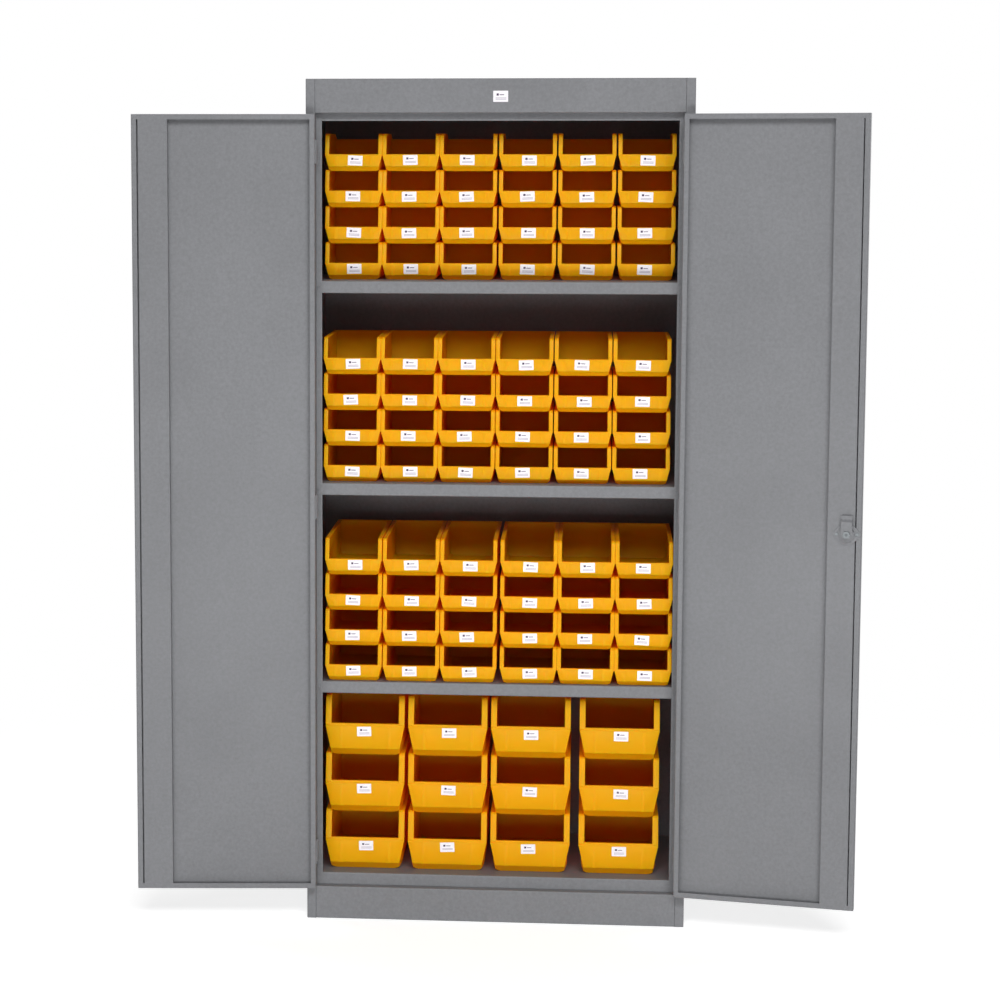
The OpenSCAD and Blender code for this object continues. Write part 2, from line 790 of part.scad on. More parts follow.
module large_bin() {
  color(bin_yellow) bin(large_w, large_h, large_l, large_lip_z, large_slope_h, large_slant, large_taper,
    large_run, large_corner_r, large_rim_w, large_rim_out, large_bevel, large_band_in, 0);
}

// Middle of a column, from its share of the free width
function small_x(i, places) = -opening_w / 2 + (i + 0.5) * small_w + places[i] * small_play;
function large_x(i) = -opening_w / 2 + (i + 0.5) * large_w + places_d[i] * large_play;

// Bottom of a row of small bins that stand on a shelf
function small_z(shelf_z, row) = shelf_z + (small_rows - row) * small_pitch;

// One bin of each stack. Columns count from the left and rows from the top, both from 1.
module bin_a(column, row) {
  translate([small_x(column - 1, places_a), shelf_y + setback_a, small_z(shelf_1_z, row)])
    small_bin(small_l_a, low_back);
}

module bin_b(column, row) {
  translate([small_x(column - 1, places_b), shelf_y + setback_b, small_z(shelf_2_z, row)])
    small_bin(small_l_b, 0);
}

module bin_c(column, row) {
  translate([small_x(column - 1, places_c), shelf_y + setback_c, small_z(shelf_3_z, row)])
    small_bin(small_l_c, 0);
}

module bin_d(column, row) {
  translate([large_x(column - 1), shelf_y + setback_d, floor_z + (large_rows - row) * large_pitch])
    large_bin();
}

// --- Assembly -------------------------------------------------------------------------

// Moves the cabinet so that the middle of its front foot flange is at the origin
module in_place() {
  translate([0, -foot_w / 2, 0]) children();
}

in_place() left_side_panel();
in_place() right_side_panel();
in_place() top_panel();
in_place() floor_pan();
in_place() back_panel();
in_place() shelf_1();
in_place() shelf_2();
in_place() shelf_3();
in_place() shelf_brackets();
in_place() shelf_rivets();
in_place() left_hinge_frame_leaves();
in_place() right_hinge_frame_leaves();
in_place() left_hinge_pins();
in_place() right_hinge_pins();
in_place() left_door_panel();
in_place() left_door_channel();
in_place() left_hinge_door_leaves();
in_place() right_door_panel();
in_place() right_door_channel();
in_place() right_hinge_door_leaves();
in_place() latch_flange();
in_place() latch_screws();
in_place() handle_rose();
in_place() handle();
in_place() lock_cylinder();
in_place() latch_cam();
in_place() cam_nut();
for (i = [1 : small_columns]) {
  in_place() bin_a(i, 1);
  in_place() bin_b(i, 1);
  in_place() bin_c(i, 1);
}
for (i = [1 : large_columns])
  in_place() bin_d(i, 1);
for (row = [2 : small_rows]) {
  in_place() for (i = [1 : small_columns]) bin_a(i, row);
  in_place() for (i = [1 : small_columns]) bin_b(i, row);
  in_place() for (i = [1 : small_columns]) bin_c(i, row);
}
for (row = [2 : large_rows])
  in_place() for (i = [1 : large_columns]) bin_d(i, row);
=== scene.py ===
"""Finishes a two-door steel cabinet full of yellow parts bins, and sets it in a plain studio.

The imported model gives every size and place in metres, with the doors standing open. The steel,
hinges and latch keep their solids and get their finishes here. The bins get rounded edges, the
lower rows of the shortest ones get higher backs, and every bin and the header get a paper sticker.
"""
import json
import math
import random

import bmesh
import bpy
from mathutils import Matrix, Vector

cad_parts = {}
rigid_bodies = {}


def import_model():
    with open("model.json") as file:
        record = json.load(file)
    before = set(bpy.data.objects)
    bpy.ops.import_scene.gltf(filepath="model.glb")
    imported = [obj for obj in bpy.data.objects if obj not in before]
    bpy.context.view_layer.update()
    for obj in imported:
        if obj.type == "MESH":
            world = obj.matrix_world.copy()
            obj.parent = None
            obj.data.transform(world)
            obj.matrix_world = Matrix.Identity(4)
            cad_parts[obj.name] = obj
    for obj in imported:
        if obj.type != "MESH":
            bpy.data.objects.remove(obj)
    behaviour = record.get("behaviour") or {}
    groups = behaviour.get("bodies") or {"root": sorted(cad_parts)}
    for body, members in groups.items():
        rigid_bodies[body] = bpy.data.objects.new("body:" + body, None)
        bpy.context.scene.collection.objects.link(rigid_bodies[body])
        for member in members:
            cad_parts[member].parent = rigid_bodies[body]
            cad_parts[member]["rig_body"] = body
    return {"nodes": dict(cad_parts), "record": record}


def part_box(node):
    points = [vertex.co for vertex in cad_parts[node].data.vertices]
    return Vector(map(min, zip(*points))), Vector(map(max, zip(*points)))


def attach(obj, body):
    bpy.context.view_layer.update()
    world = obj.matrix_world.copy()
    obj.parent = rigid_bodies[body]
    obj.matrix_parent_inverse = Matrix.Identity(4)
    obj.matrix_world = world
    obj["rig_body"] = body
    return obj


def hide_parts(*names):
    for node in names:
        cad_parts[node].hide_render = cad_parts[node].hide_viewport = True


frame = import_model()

bl_info = {
    "name": "Parts Bin Cabinet",
    "version": (1, 0, 0),
    "blender": (4, 5, 0),
    "location": "3D View > Sidebar > Cabinet",
    "description": "Finishes a steel cabinet with yellow parts bins and sets it in a studio",
    "category": "Object",
}

MM = 0.001

# The compartments are a to d from top to bottom. The shortest bins are in a, the large ones in d.
BINS = sorted(n for n in frame["nodes"] if n.startswith(("bins_", "top_bin_")))

# Sizes of the solids that the finish follows
LIP_HEIGHT = {"small": 35.5 * MM, "large": 71 * MM}  # front lip over the bottom of a bin
LIP_BEVEL = {"small": 1 * MM, "large": 5.5 * MM}     # sloping band along that lip
LOW_BACK = 12 * MM       # how much lower the shortest bins are behind
BACK_RUN = 34 * MM       # how far from the back they start to fall
LOW_RIM = 5 * MM         # how deep that low back is raised, which takes in its 3 mm rim
SPINDLE_TIP = 18 * MM    # part of the handle that no chrome reached

# Joining the solids' loose triangles, and rounding the edges
WELD = 0.002 * MM                # corners closer than this are one
FLAT = math.radians(0.3)         # faces that meet at less than this are one
SHORT_EDGE = 0.3 * MM            # edges shorter than this are closed up
EDGE_ANGLE = math.radians(28)    # edges sharper than this are rounded
CRISP_ANGLE = math.radians(38)   # edges sharper than this are shaded sharp

# Stickers
BAND_TO_PAPER = 0.45 * MM        # from the raised bands of a bin's front back to its sticker
LIP_TO_PAPER = 0.3 * MM          # from the lip's sloping band down to a sticker, at least
PAPER_DROP = 1.5 * MM            # and at most this much more
PAPER_CORNER = 1 * MM            # radius of the corners
HEADER_STICKER = (2.4 * MM, 1762.9 * MM)  # middle of the header's sticker, across and up

# Sockets of a Mix node, by number because their names repeat
FACTOR, VALUE_A, VALUE_B, COLOUR_A, COLOUR_B = 0, 2, 3, 6, 7
MIXED_VALUE, MIXED_COLOUR = 0, 2

WHITE = (1.0, 1.0, 1.0, 1.0)
NOISE = {"From Min": 0.3, "From Max": 0.7}  # nearly all of a noise's values lie between these

# Studio, in metres
FLOOR_REACH = 60.0               # from its middle to each edge
FLOOR_GLOW = 0.62                # brings the lit floor up to white, and leaves the shadow on it
FLOOR_FADE = (0.9, 2.4)          # where the floor starts and ends fading into white
LAMP_TARGET = Vector((0, 0, 1.1))
LAMPS = {                        # the setting with its power, its place, its width and height
    "key_lamp": ("key_power", (0.8, -5.6, 4.8), (4.0, 2.0)),
    "bounce_lamp": ("low_power", (0.0, -2.5, 0.2), (3.2, 0.8)),
    "left_back_lamp": ("back_power", (-4.2, 3.2, 2.6), (3.0, 2.0)),
    "right_back_lamp": ("back_power", (4.2, 3.2, 2.6), (3.0, 2.0)),
}

# Camera, solved from the photograph
FOCAL_LENGTH, SENSOR_WIDTH = 94.8, 36.0     # millimetres
CAMERA_SHIFT = (0.1477, -0.0342)
CAMERA_REACH = 200.0
CAMERA_PLACE = (0.19167, -5.53603, 1.6430)
CAMERA_TILT, CAMERA_TURN = math.radians(83.257), math.radians(5.157)


def linear(hex_colour):
    """An sRGB hex colour as the linear red, green, blue and alpha that shaders take."""
    channels = [int(hex_colour[i:i + 2], 16) / 255 for i in (1, 3, 5)]
    return [c / 12.92 if c <= 0.04045 else ((c + 0.055) / 1.055) ** 2.4 for c in channels] + [1.0]


def colour_property(name, description, hex_colour):
    """A colour that the user can change."""
    return bpy.props.FloatVectorProperty(
        name=name, description=description, default=linear(hex_colour)[:3], size=3,
        min=0.0, max=1.0, subtype="COLOR")


def length_property(name, description, millimetres):
    """A length that the user can change."""
    return bpy.props.FloatProperty(
        name=name, description=description, default=millimetres * MM, min=0.0,
        subtype="DISTANCE", unit="LENGTH", precision=5)


def power_property(name, description, watts):
    """A lamp's power that the user can change."""
    return bpy.props.FloatProperty(
        name=name, description=description, default=watts, min=0.0, subtype="POWER", unit="POWER")


def share_property(name, description, share):
    """A share from none to all that the user can change."""
    return bpy.props.FloatProperty(
        name=name, description=description, default=share, min=0.0, max=1.0, subtype="FACTOR")


class CabinetSteelSettings(bpy.types.PropertyGroup):
    """Finish of the sheet steel."""
    coat_colour: colour_property("Coat", "Colour of the powder coat", "#737477")
    mottle_size: length_property("Mottle", "Size of the cloudy grains in the coat", 7)
    peel_size: length_property("Peel", "Width of the ripples in the coat", 4)


class CabinetBinSettings(bpy.types.PropertyGroup):
    """Shape and finish of the bins."""
    plastic_colour: colour_property("Plastic", "Colour of the moulded plastic", "#ffdc0c")
    glow: share_property("Glow", "Share of the light that passes through a wall", 0.5)
    edge_radius: length_property("Edge radius", "Rounding of the moulded edges", 0.45)
    edge_steps: bpy.props.IntProperty(
        name="Edge steps", description="Faces across a rounded edge", default=2, min=1, max=4)


class CabinetStickerSettings(bpy.types.PropertyGroup):
    """Size of the stickers, and how carelessly they were stuck on."""
    width: length_property("Width", "Width of a sticker", 31)
    height: length_property("Height", "Height of a bin's sticker", 21)
    header_height: length_property("Header height", "Height of the header's sticker", 23)
    thickness: length_property("Thickness", "Thickness of the paper", 0.15)
    wander: length_property("Wander", "How far a sticker lies from its place", 4)
    tilt: bpy.props.FloatProperty(
        name="Tilt", description="How far a sticker is turned", default=math.radians(2.5),
        min=0.0, max=math.radians(20), subtype="ANGLE", unit="ROTATION")
    seed: bpy.props.IntProperty(name="Seed", description="Picks another scatter", default=7, min=0)


class CabinetStudioSettings(bpy.types.PropertyGroup):
    """Light on the cabinet."""
    key_power: power_property("Key", "Power of the large lamp, high in front", 302.0)
    low_power: power_property("Bounce", "Power of the light that the floor throws back", 52.0)
    back_power: power_property("Back", "Power of each lamp behind the cabinet", 130.0)
    fill: share_property("Fill", "Light that reaches every side", 0.04)


# ---------------------------------------------------------------- materials

def add(tree, kind, settings=None, links=None):
    """A shader node with its settings, and its links from other nodes' sockets.

    A setting is an input, by its name or number, or else a property of the node.
    """
    made = tree.nodes.new(kind)
    for key, value in (settings or {}).items():
        if isinstance(key, int) or key in made.inputs:
            made.inputs[key].default_value = value
        else:
            setattr(made, key, value)
    for key, source in (links or {}).items():
        tree.links.new(source, made.inputs[key])
    return made


def new_material(name):
    """An empty material, and its node tree with only the output in it."""
    material = bpy.data.materials.new(name)
    material.use_nodes = True
    tree = material.node_tree
    tree.nodes.clear()
    return material, tree, tree.nodes.new("ShaderNodeOutputMaterial")


def shows_directly(tree):
    """1 as the camera sees it, also in metal or through glass, and 0 as light on the cabinet."""
    rays = add(tree, "ShaderNodeLightPath").outputs
    mirrored = add(tree, "ShaderNodeMath", {"operation": "MAXIMUM"},
                   {0: rays["Is Camera Ray"], 1: rays["Is Glossy Ray"]})
    return add(tree, "ShaderNodeMath", {"operation": "MAXIMUM"},
               {0: mirrored.outputs[0], 1: rays["Is Transmission Ray"]}).outputs[0]


def powder_coat(settings):
    """Grey polyester powder coat, sprayed dry and baked: satin, with fine mottle and orange peel.

    The mottle is what shows at arm's length. The peel is drawn about three times too coarse,
    because the real one, at 1 to 2 mm, is finer than a pixel of the render.
    """
    material, tree, output = new_material("grey_powder_coat")
    place = add(tree, "ShaderNodeTexCoord").outputs["Object"]
    mottle = add(tree, "ShaderNodeTexNoise", {
        "Scale": 1 / settings.mottle_size, "Detail": 4.0, "Roughness": 0.65}, {"Vector": place})
    peel = add(tree, "ShaderNodeTexNoise", {
        "Scale": 1 / settings.peel_size, "Detail": 2.0}, {"Vector": place})
    # The spray gun leaves slightly paler and darker clouds, a hand's breadth and more across
    clouds = add(tree, "ShaderNodeTexNoise", {"Scale": 1 / (280 * MM), "Detail": 3.0},
                 {"Vector": place})
    pale = [min(1.0, c * 1.3) for c in settings.coat_colour] + [1.0]
    dark = [c * 0.74 for c in settings.coat_colour] + [1.0]
    grain = add(tree, "ShaderNodeMix", {"data_type": "RGBA", COLOUR_A: dark, COLOUR_B: pale},
                {FACTOR: mottle.outputs["Fac"]})
    shade = add(tree, "ShaderNodeMapRange", {**NOISE, "To Min": 0.94, "To Max": 1.06},
                {"Value": clouds.outputs["Fac"]})
    coat = add(tree, "ShaderNodeHueSaturation", {}, {
        "Color": grain.outputs[MIXED_COLOUR], "Value": shade.outputs["Result"]})
    gloss = add(tree, "ShaderNodeMapRange", {**NOISE, "To Min": 0.46, "To Max": 0.62},
                {"Value": mottle.outputs["Fac"]})
    bump = add(tree, "ShaderNodeBump", {"Strength": 0.35, "Distance": 0.25 * MM},
               {"Height": peel.outputs["Fac"]})
    skin = add(tree, "ShaderNodeBsdfPrincipled", {"IOR": 1.5, "Specular IOR Level": 0.35}, {
        "Base Color": coat.outputs["Color"], "Roughness": gloss.outputs["Result"],
        "Normal": bump.outputs["Normal"]})
    tree.links.new(skin.outputs["BSDF"], output.inputs["Surface"])
    return material


def zinc_plate():
    """Steel zinc-plated in a barrel: a soft grey metal with cloudy patches where parts rubbed."""
    material, tree, output = new_material("zinc_plated_steel")
    place = add(tree, "ShaderNodeTexCoord").outputs["Object"]
    patches = add(tree, "ShaderNodeTexNoise", {"Scale": 1 / (6 * MM), "Detail": 4.0},
                  {"Vector": place})
    tone = add(tree, "ShaderNodeMix", {
        "data_type": "RGBA", COLOUR_A: linear("#5c6062"), COLOUR_B: linear("#84888a")},
        {FACTOR: patches.outputs["Fac"]})
    gloss = add(tree, "ShaderNodeMapRange", {**NOISE, "To Min": 0.5, "To Max": 0.7},
                {"Value": patches.outputs["Fac"]})
    bump = add(tree, "ShaderNodeBump", {"Strength": 0.2, "Distance": 0.05 * MM},
               {"Height": patches.outputs["Fac"]})
    skin = add(tree, "ShaderNodeBsdfPrincipled", {"Metallic": 1.0}, {
        "Base Color": tone.outputs[MIXED_COLOUR], "Roughness": gloss.outputs["Result"],
        "Normal": bump.outputs["Normal"]})
    tree.links.new(skin.outputs["BSDF"], output.inputs["Surface"])
    return material


def chrome_plate():
    """Chrome over a polished die casting: bright and mirror-like, with faint wiping scratches.

    The tip of the handle's spindle, inside the door, is left as cast: dull and grey.
    """
    material, tree, output = new_material("chrome_plated_casting")
    place = add(tree, "ShaderNodeTexCoord").outputs["Object"]
    # Scratches 20 mm long and 0.8 mm apart, across the casting
    wiped = add(tree, "ShaderNodeMapping", {
        "Scale": (1 / (20 * MM), 1 / (20 * MM), 1 / (0.8 * MM))}, {"Vector": place})
    scratches = add(tree, "ShaderNodeTexNoise", {"Scale": 1.0, "Detail": 3.0},
                    {"Vector": wiped.outputs["Vector"]})
    gloss = add(tree, "ShaderNodeMapRange", {
        "From Min": 0.35, "From Max": 0.7, "To Min": 0.06, "To Max": 0.2},
        {"Value": scratches.outputs["Fac"]})
    plated_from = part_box("handle")[0][1] + SPINDLE_TIP
    depth = add(tree, "ShaderNodeSeparateXYZ", {}, {0: place}).outputs["Y"]
    plated = add(tree, "ShaderNodeMath", {"operation": "GREATER_THAN", 1: plated_from}, {0: depth})
    tone = add(tree, "ShaderNodeMix", {
        "data_type": "RGBA", COLOUR_A: linear("#5c6062"), COLOUR_B: linear("#e3e5e6")},
        {FACTOR: plated.outputs[0]})
    polish = add(tree, "ShaderNodeMix", {VALUE_A: 0.6},
                 {FACTOR: plated.outputs[0], VALUE_B: gloss.outputs["Result"]})
    skin = add(tree, "ShaderNodeBsdfPrincipled", {"Metallic": 1.0}, {
        "Base Color": tone.outputs[MIXED_COLOUR], "Roughness": polish.outputs[MIXED_VALUE]})
    tree.links.new(skin.outputs["BSDF"], output.inputs["Surface"])
    return material


def bin_plastic(settings):
    """Yellow polypropylene, injection-moulded: a waxy gloss, faint flow clouds and a fine grain.

    The walls are thin enough to let red light through, which is why the bins glow orange inside.
    """
    material, tree, output = new_material("yellow_polypropylene")
    place = add(tree, "ShaderNodeTexCoord").outputs["Object"]
    flow = add(tree, "ShaderNodeTexNoise", {"Scale": 1 / (55 * MM), "Detail": 2.0},
               {"Vector": place})
    # The mould's grain is finer than 1 mm, and is drawn as coarse as a pixel of the render
    grain = add(tree, "ShaderNodeTexNoise", {"Scale": 1 / (2.5 * MM), "Detail": 2.0},
                {"Vector": place})
    red, green, blue = settings.plastic_colour
    tone = add(tree, "ShaderNodeMix", {
        "data_type": "RGBA", COLOUR_A: (red * 0.93, green * 0.9, blue * 0.9, 1.0),
        COLOUR_B: (red, green, blue, 1.0)}, {FACTOR: flow.outputs["Fac"]})
    gloss = add(tree, "ShaderNodeMapRange", {**NOISE, "To Min": 0.36, "To Max": 0.5},
                {"Value": flow.outputs["Fac"]})
    bump = add(tree, "ShaderNodeBump", {"Strength": 0.12, "Distance": 0.1 * MM},
               {"Height": grain.outputs["Fac"]})
    skin = add(tree, "ShaderNodeBsdfPrincipled", {
        "IOR": 1.49, "Specular IOR Level": 0.2, "Subsurface Weight": 0.25,
        "Subsurface Radius": (1.0, 0.35, 0.03), "Subsurface Scale": 2.5 * MM,
    }, {"Base Color": tone.outputs[MIXED_COLOUR], "Roughness": gloss.outputs["Result"],
        "Normal": bump.outputs["Normal"]})
    through = add(tree, "ShaderNodeBsdfTranslucent", {"Color": linear("#ff8c00")})
    wall = add(tree, "ShaderNodeMixShader", {0: settings.glow},
               {1: skin.outputs["BSDF"], 2: through.outputs["BSDF"]})
    tree.links.new(wall.outputs["Shader"], output.inputs["Surface"])
    return material


def sticker_paper():
    """Glossy white label paper with two plain bars and two grey rules that say nothing."""
    material, tree, output = new_material("printed_label_paper")
    print_map = add(tree, "ShaderNodeUVMap", {"uv_map": "print"})
    uv = add(tree, "ShaderNodeSeparateXYZ", {}, {0: print_map.outputs["UV"]})
    place = add(tree, "ShaderNodeTexCoord").outputs["Object"]
    fibre = add(tree, "ShaderNodeTexNoise", {"Scale": 1 / (3 * MM), "Detail": 2.0},
                {"Vector": place})
    paper = add(tree, "ShaderNodeMix", {
        "data_type": "RGBA", COLOUR_A: linear("#e6e0e6"), COLOUR_B: linear("#faf6fa")},
        {FACTOR: fibre.outputs["Fac"]})
    # Middle and half size of each printed bar, as shares of the sticker, and its ink
    bars = [((0.30, 0.66), (0.075, 0.10), "#4a3a55"), ((0.58, 0.64), (0.15, 0.04), "#77707f"),
            ((0.52, 0.36), (0.36, 0.03), "#b3acb8"), ((0.52, 0.24), (0.36, 0.03), "#b3acb8")]
    for (across, up), (half_width, half_height), ink in bars:
        beside = add(tree, "ShaderNodeMath", {"operation": "COMPARE", 1: across, 2: half_width},
                     {0: uv.outputs["X"]})
        level = add(tree, "ShaderNodeMath", {"operation": "COMPARE", 1: up, 2: half_height},
                    {0: uv.outputs["Y"]})
        inside = add(tree, "ShaderNodeMath", {"operation": "MULTIPLY"},
                     {0: beside.outputs[0], 1: level.outputs[0]})
        paper = add(tree, "ShaderNodeMix", {"data_type": "RGBA", COLOUR_B: linear(ink)},
                    {FACTOR: inside.outputs[0], COLOUR_A: paper.outputs[MIXED_COLOUR]})
    gloss = add(tree, "ShaderNodeMapRange", {"To Min": 0.35, "To Max": 0.5},
                {"Value": fibre.outputs["Fac"]})
    skin = add(tree, "ShaderNodeBsdfPrincipled", {"IOR": 1.45, "Specular IOR Level": 0.3}, {
        "Base Color": paper.outputs[MIXED_COLOUR], "Roughness": gloss.outputs["Result"]})
    tree.links.new(skin.outputs["BSDF"], output.inputs["Surface"])
    return material


def studio_floor():
    """Matt white paper sweep. It looks white to the camera and keeps the cabinet's shadow."""
    material, tree, output = new_material("white_paper_sweep")
    place = add(tree, "ShaderNodeTexCoord").outputs["Object"]
    fibre = add(tree, "ShaderNodeTexNoise", {"Scale": 1 / (12 * MM), "Detail": 2.0},
                {"Vector": place})
    tone = add(tree, "ShaderNodeMix", {
        "data_type": "RGBA", COLOUR_A: linear("#dadada"), COLOUR_B: linear("#e0e0e0")},
        {FACTOR: fibre.outputs["Fac"]})
    paper = add(tree, "ShaderNodeBsdfDiffuse", {}, {"Color": tone.outputs[MIXED_COLOUR]})
    glow = add(tree, "ShaderNodeEmission", {"Color": WHITE, "Strength": FLOOR_GLOW})
    near = add(tree, "ShaderNodeAddShader", {}, {
        0: paper.outputs["BSDF"], 1: glow.outputs["Emission"]})
    # Far from the cabinet the sweep fades into the white of the world
    far = add(tree, "ShaderNodeEmission", {"Color": WHITE, "Strength": 1.0})
    distance = add(tree, "ShaderNodeVectorMath", {"operation": "LENGTH"}, {0: place})
    fade = add(tree, "ShaderNodeMapRange", {
        "interpolation_type": "SMOOTHSTEP", "From Min": FLOOR_FADE[0], "From Max": FLOOR_FADE[1]},
        {"Value": distance.outputs["Value"]})
    seen = add(tree, "ShaderNodeMixShader", {}, {
        0: fade.outputs["Result"], 1: near.outputs["Shader"], 2: far.outputs["Emission"]})
    mix = add(tree, "ShaderNodeMixShader", {}, {
        0: shows_directly(tree), 1: paper.outputs["BSDF"], 2: seen.outputs["Shader"]})
    tree.links.new(mix.outputs["Shader"], output.inputs["Surface"])
    return material


def studio_world(settings):
    """White to the camera, with little light of its own on the cabinet."""
    world = bpy.data.worlds.new("studio")
    world.use_nodes = True
    tree = world.node_tree
    tree.nodes.clear()
    fill = add(tree, "ShaderNodeBackground", {"Color": WHITE, "Strength": settings.fill})
    white = add(tree, "ShaderNodeBackground", {"Color": WHITE, "Strength": 1.0})
    mix = add(tree, "ShaderNodeMixShader", {}, {
        0: shows_directly(tree), 1: fill.outputs["Background"], 2: white.outputs["Background"]})
    add(tree, "ShaderNodeOutputWorld", {}, {"Surface": mix.outputs["Shader"]})
    return world


# ---------------------------------------------------------------- shapes

def finish_piece(name, bm, material, body, replaced=()):
    """Makes an object of a finished bmesh, which rides on a body and may stand for CAD nodes."""
    mesh = bpy.data.meshes.new(name)
    bm.to_mesh(mesh)
    bm.free()
    mesh.shade_smooth()
    mesh.set_sharp_from_angle(angle=CRISP_ANGLE)
    mesh.materials.append(material)
    piece = bpy.data.objects.new(name, mesh)
    bpy.context.scene.collection.objects.link(piece)
    if replaced:
        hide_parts(*replaced)
    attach(piece, body)


def merged_copy(node):
    """A CAD node's mesh with its loose triangles joined into whole faces."""
    bm = bmesh.new()
    bm.from_mesh(frame["nodes"][node].data)
    bmesh.ops.remove_doubles(bm, verts=bm.verts, dist=WELD)
    if node.startswith("bins_a"):
        # Only the top bins of this stack show a low back. The others reach up to the bin above.
        back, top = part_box(node)[1][1:]
        start = back - BACK_RUN
        for v in bm.verts:
            if v.co.y > start and v.co.z > top - LOW_BACK - LOW_RIM:
                v.co.z = min(top, v.co.z + LOW_BACK * (v.co.y - start) / BACK_RUN)
    bmesh.ops.dissolve_limit(bm, angle_limit=FLAT, verts=bm.verts, edges=bm.edges,
                             delimit={"NORMAL"})
    bmesh.ops.remove_doubles(bm, verts=bm.verts, dist=SHORT_EDGE)
    return bm


def separate_shells(bm):
    """The low and high corners of each loose part of a mesh, from left to right."""
    left, shells = set(bm.verts), []
    while left:
        found, reached = set(), {left.pop()}
        while reached:
            found |= reached
            reached = {e.other_vert(v) for v in reached for e in v.link_edges} - found
        left -= found
        low = Vector([min(v.co[i] for v in found) for i in range(3)])
        high = Vector([max(v.co[i] for v in found) for i in range(3)])
        shells.append((low, high))
    return sorted(shells, key=lambda shell: shell[0].x)


def add_sticker(bm, uv_layer, middle, size, tilt):
    """A thin sheet with rounded corners and its print's UV, facing the front.

    middle is the middle of its back, and size its width, thickness and height.
    """
    width, thickness, height = size
    made = bmesh.ops.create_cube(bm, size=1.0)["verts"]
    bmesh.ops.scale(bm, verts=made, vec=size)
    faces = list({f for v in made for f in v.link_faces})
    for face in faces:
        for loop in face.loops:
            loop[uv_layer].uv = (loop.vert.co.x / width + 0.5, loop.vert.co.z / height + 0.5)
    upright = [e for v in made for e in v.link_edges
               if abs(e.verts[0].co.y - e.verts[1].co.y) > thickness / 2]
    rounded = bmesh.ops.bevel(bm, geom=list(set(upright)), offset=PAPER_CORNER,
                              offset_type="OFFSET", affect="EDGES", segments=3, profile=0.5,
                              material=-1)
    corners = {v for f in faces if f.is_valid for v in f.verts} | set(rounded["verts"])
    place = Matrix.Translation(middle - Vector((0, thickness / 2, 0)))
    bmesh.ops.transform(bm, matrix=place @ Matrix.Rotation(tilt, 4, "Y"), verts=list(corners))


def hang_lamp(name, place, size, power):
    """A soft rectangular lamp, aimed a little above the cabinet's middle."""
    lamp = bpy.data.lights.new(name, "AREA")
    lamp.shape = "RECTANGLE"
    lamp.size, lamp.size_y = size
    lamp.energy = power
    holder = bpy.data.objects.new(name, lamp)
    holder.location = place
    holder.rotation_euler = (LAMP_TARGET - Vector(place)).to_track_quat("-Z", "Y").to_euler()
    bpy.context.scene.collection.objects.link(holder)


# ---------------------------------------------------------------- operators

class CABINET_OT_steel(bpy.types.Operator):
    """Coat the sheet steel, and plate the hinge pins and the latch"""
    bl_idname = "cabinet.steel"
    bl_label = "Finish the Steel"

    def execute(self, context):
        finishes = {"grey_powder_coat": powder_coat(context.scene.cabinet_steel),
                    "plated_steel": zinc_plate(), "chrome": chrome_plate()}
        slots = {s["node"]: s["material_slot"] for s in frame["record"]["subparts"]}
        for node, solid in frame["nodes"].items():
            if node in BINS:
                continue
            if not solid.material_slots:
                raise RuntimeError(f"{node} has no material slot")
            for held in solid.material_slots:
                held.material = finishes[slots[node]]
        return {"FINISHED"}


class CABINET_OT_bins(bpy.types.Operator):
    """Round the edges of the moulded bins"""
    bl_idname = "cabinet.bins"
    bl_label = "Mould the Bins"

    def execute(self, context):
        settings = context.scene.cabinet_bins
        plastic = bin_plastic(settings)
        for node in BINS:
            bm = merged_copy(node)
            edges = [e for e in bm.edges if len(e.link_faces) == 2
                     and e.calc_face_angle() > EDGE_ANGLE]
            bmesh.ops.bevel(bm, geom=edges, offset=settings.edge_radius, offset_type="OFFSET",
                            affect="EDGES", segments=settings.edge_steps, profile=0.5, material=-1,
                            clamp_overlap=False)
            finish_piece(node + "_moulded", bm, plastic, frame["nodes"][node]["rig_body"],
                         [node])
        return {"FINISHED"}


class CABINET_OT_stickers(bpy.types.Operator):
    """Stick a small paper label on every bin and one on the header"""
    bl_idname = "cabinet.stickers"
    bl_label = "Stick the Labels"

    def execute(self, context):
        settings = context.scene.cabinet_stickers
        paper = sticker_paper()
        scatter = random.Random(settings.seed)
        for node in BINS:
            kind = "large" if "_d" in node else "small"
            source = merged_copy(node)
            shells = separate_shells(source)
            source.free()
            bm = bmesh.new()
            uv_layer = bm.loops.layers.uv.new("print")
            for low, high in shells:
                top = low.z + LIP_HEIGHT[kind] - LIP_BEVEL[kind] - LIP_TO_PAPER
                middle = Vector(((low.x + high.x) / 2 + scatter.uniform(-1, 1) * settings.wander,
                                 low.y + BAND_TO_PAPER,
                                 top - settings.height / 2 - scatter.uniform(0, PAPER_DROP)))
                add_sticker(bm, uv_layer, middle,
                            (settings.width, settings.thickness, settings.height),
                            scatter.uniform(-1, 1) * settings.tilt)
            finish_piece(node + "_stickers", bm, paper, frame["nodes"][node]["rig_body"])

        bm = bmesh.new()
        uv_layer = bm.loops.layers.uv.new("print")
        across, up = HEADER_STICKER
        middle = Vector((across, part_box("top_panel")[0][1], up))
        add_sticker(bm, uv_layer, middle,
                    (settings.width, settings.thickness, settings.header_height), 0.0)
        finish_piece("header_sticker", bm, paper, frame["nodes"]["top_panel"]["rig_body"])
        return {"FINISHED"}


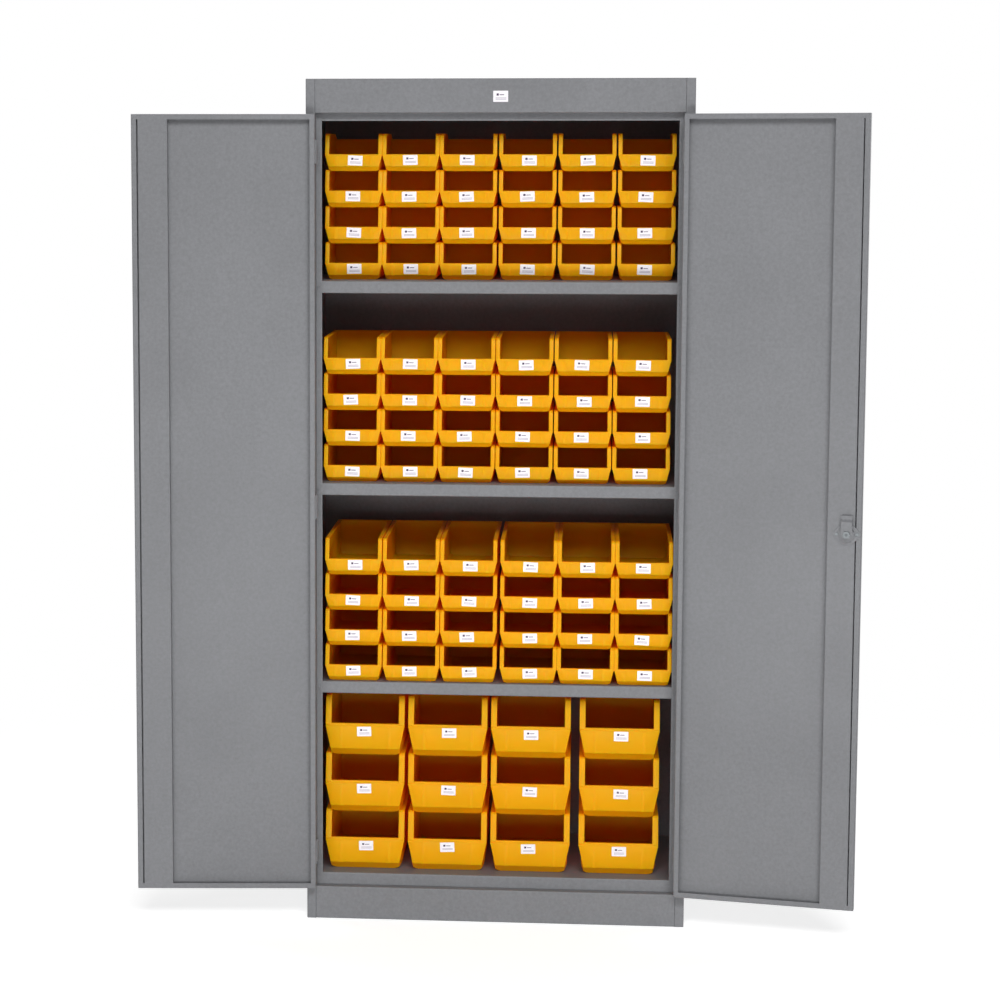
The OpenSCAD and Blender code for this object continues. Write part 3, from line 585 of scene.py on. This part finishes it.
class CABINET_OT_studio(bpy.types.Operator):
    """Set the floor, the lights and the camera"""
    bl_idname = "cabinet.studio"
    bl_label = "Set the Studio"

    def execute(self, context):
        settings = context.scene.cabinet_studio
        bm = bmesh.new()
        bmesh.ops.create_grid(bm, x_segments=1, y_segments=1, size=FLOOR_REACH)
        mesh = bpy.data.meshes.new("floor")
        bm.to_mesh(mesh)
        bm.free()
        mesh.materials.append(studio_floor())
        floor = bpy.data.objects.new("floor", mesh)
        context.scene.collection.objects.link(floor)

        context.scene.world = studio_world(settings)
        for name, (power, place, size) in LAMPS.items():
            hang_lamp(name, place, size, getattr(settings, power))

        lens = bpy.data.cameras.new("camera")
        lens.lens, lens.sensor_width = FOCAL_LENGTH, SENSOR_WIDTH
        lens.shift_x, lens.shift_y = CAMERA_SHIFT
        lens.clip_end = CAMERA_REACH
        camera = bpy.data.objects.new("camera", lens)
        camera.location = CAMERA_PLACE
        camera.rotation_euler = (CAMERA_TILT, 0, CAMERA_TURN)
        context.scene.collection.objects.link(camera)
        context.scene.camera = camera
        context.scene.view_settings.view_transform = "Standard"
        return {"FINISHED"}


class CABINET_PT_sidebar(bpy.types.Panel):
    """Lists the cabinet's pieces and their settings"""
    bl_idname = "CABINET_PT_sidebar"
    bl_label = "Parts Bin Cabinet"
    bl_space_type = "VIEW_3D"
    bl_region_type = "UI"
    bl_category = "Cabinet"

    def draw(self, context):
        for operator, (attribute, group) in zip(OPERATORS, SETTINGS.items()):
            box = self.layout.box()
            for prop in group.__annotations__:
                box.prop(getattr(context.scene, attribute), prop)
            box.operator(operator.bl_idname)


SETTINGS = {"cabinet_steel": CabinetSteelSettings, "cabinet_bins": CabinetBinSettings,
            "cabinet_stickers": CabinetStickerSettings, "cabinet_studio": CabinetStudioSettings}
OPERATORS = (CABINET_OT_steel, CABINET_OT_bins, CABINET_OT_stickers, CABINET_OT_studio)
CLASSES = (*SETTINGS.values(), *OPERATORS, CABINET_PT_sidebar)


def register():
    """Makes the classes known to Blender, and gives every scene their settings."""
    for cls in CLASSES:
        bpy.utils.register_class(cls)
    for attribute, group in SETTINGS.items():
        setattr(bpy.types.Scene, attribute, bpy.props.PointerProperty(type=group))


def unregister():
    """Takes the settings and the classes away again."""
    for attribute in SETTINGS:
        delattr(bpy.types.Scene, attribute)
    for cls in reversed(CLASSES):
        bpy.utils.unregister_class(cls)


def main():
    """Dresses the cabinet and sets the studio."""
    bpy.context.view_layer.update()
    register()
    bpy.ops.cabinet.steel()
    bpy.ops.cabinet.bins()
    bpy.ops.cabinet.stickers()
    bpy.ops.cabinet.studio()


if __name__ == "__main__":
    main()
